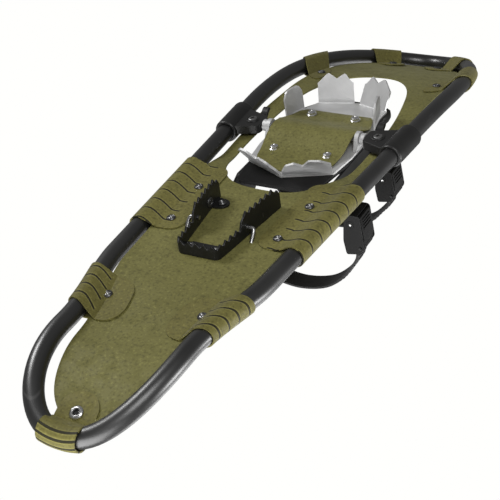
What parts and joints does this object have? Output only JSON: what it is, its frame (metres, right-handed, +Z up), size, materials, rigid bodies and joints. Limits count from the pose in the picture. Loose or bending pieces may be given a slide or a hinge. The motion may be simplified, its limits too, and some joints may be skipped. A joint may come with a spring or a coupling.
{
  "type": "snowshoe",
  "caption": "Tubular-frame snowshoe with a wrapped flexible deck, a binding that hinges on a cross rod, toothed crampon, heel cleat and heel lifter.",
  "frame": {"origin": "on the ground under the middle of the shoe, level with the tips of its longest teeth", "axes": "+Z up from the ground towards the boot, -Y towards the toe, +Y towards the tail, +X to the left of a walker looking along the toe direction"},
  "size_m": [0.2083, 0.7635, 0.1666],
  "materials": {
    "black_tube": "satin black powder coat on aluminium tube",
    "steel": "plain",
    "olive_deck": "matt coated fabric sheet",
    "black_plastic": "moulded, matt",
    "bright_alloy": "bare, pressed",
    "black_steel": "black coated steel",
    "strap_rubber": "moulded ladder strap",
    "dark_rivet": "dark plated"
  },
  "bodies": {
    "shoe_frame": {"clamp_screw_left": "dark_rivet", "clamp_screw_right": "dark_rivet", "cleat_rivet_front_left": "dark_rivet", "cleat_rivet_front_right": "dark_rivet", "cleat_rivet_rear_left": "dark_rivet", "cleat_rivet_rear_right": "dark_rivet", "deck": "olive_deck", "frame_tube": "black_tube", "heel_cleat": "black_steel", "pivot_clamp_left": "black_plastic", "pivot_clamp_right": "black_plastic", "pivot_rod": "steel", "pivot_spacer_left": "bright_alloy", "pivot_spacer_right": "bright_alloy", "rivet_corner_left": "dark_rivet", "rivet_corner_right": "dark_rivet", "rivet_front_left": "dark_rivet", "rivet_front_right": "dark_rivet", "rivet_mid_front_left": "dark_rivet", "rivet_mid_front_right": "dark_rivet", "rivet_mid_rear_left": "dark_rivet", "rivet_mid_rear_right": "dark_rivet", "rivet_side_left": "dark_rivet", "rivet_side_right": "dark_rivet", "tail_eyelet": "bright_alloy", "tail_ferrule": "steel"},
    "binding": {"binding_wing_left": "black_plastic", "binding_wing_right": "black_plastic", "crampon": "bright_alloy", "crampon_cover": "olive_deck", "crampon_rivet_front_left": "bright_alloy", "crampon_rivet_front_right": "bright_alloy", "crampon_rivet_rear_left": "bright_alloy", "crampon_rivet_rear_right": "bright_alloy", "foot_plate": "black_plastic", "heel_pivot_left": "dark_rivet", "heel_pivot_right": "dark_rivet", "instep_buckle_base": "black_plastic", "instep_ladder_strap": "strap_rubber", "instep_lever_pin": "steel", "instep_strap_rivet_left": "dark_rivet", "instep_strap_rivet_right": "dark_rivet", "toe_buckle_base": "black_plastic", "toe_ladder_strap": "strap_rubber", "toe_lever_pin": "steel", "toe_strap_rivet_left": "dark_rivet", "toe_strap_rivet_right": "dark_rivet"},
    "toe_lever": {"toe_buckle_lever": "black_plastic"},
    "instep_lever": {"instep_buckle_lever": "black_plastic"},
    "heel_loop": {"heel_buckle": "black_plastic", "heel_strap": "strap_rubber"},
    "lifter": {"heel_lifter": "steel"}
  },
  "joints": [
    {"name": "binding_pivot", "type": "hinge", "parent": "shoe_frame", "child": "binding", "pos_m": [0, -0.062, 0.0235], "axis": [1, 0, 0], "range_deg": [-3, 35]},
    {"name": "toe_buckle_pivot", "type": "hinge", "parent": "binding", "child": "toe_lever", "pos_m": [0.0712, -0.092, 0.0955], "axis": [0, -1, 0], "range_deg": [0, 70]},
    {"name": "instep_buckle_pivot", "type": "hinge", "parent": "binding", "child": "instep_lever", "pos_m": [0.0762, -0.004, 0.1015], "axis": [0, -1, 0], "range_deg": [0, 70]},
    {"name": "heel_strap_pivot", "type": "hinge", "parent": "binding", "child": "heel_loop", "pos_m": [0, 0.023, 0.0555], "axis": [1, 0, 0], "range_deg": [-4, 35]},
    {"name": "heel_lifter_pivot", "type": "hinge", "parent": "shoe_frame", "child": "lifter", "pos_m": [0, 0.122, 0.016], "axis": [1, 0, 0], "range_deg": [0, 60]}
  ]
}
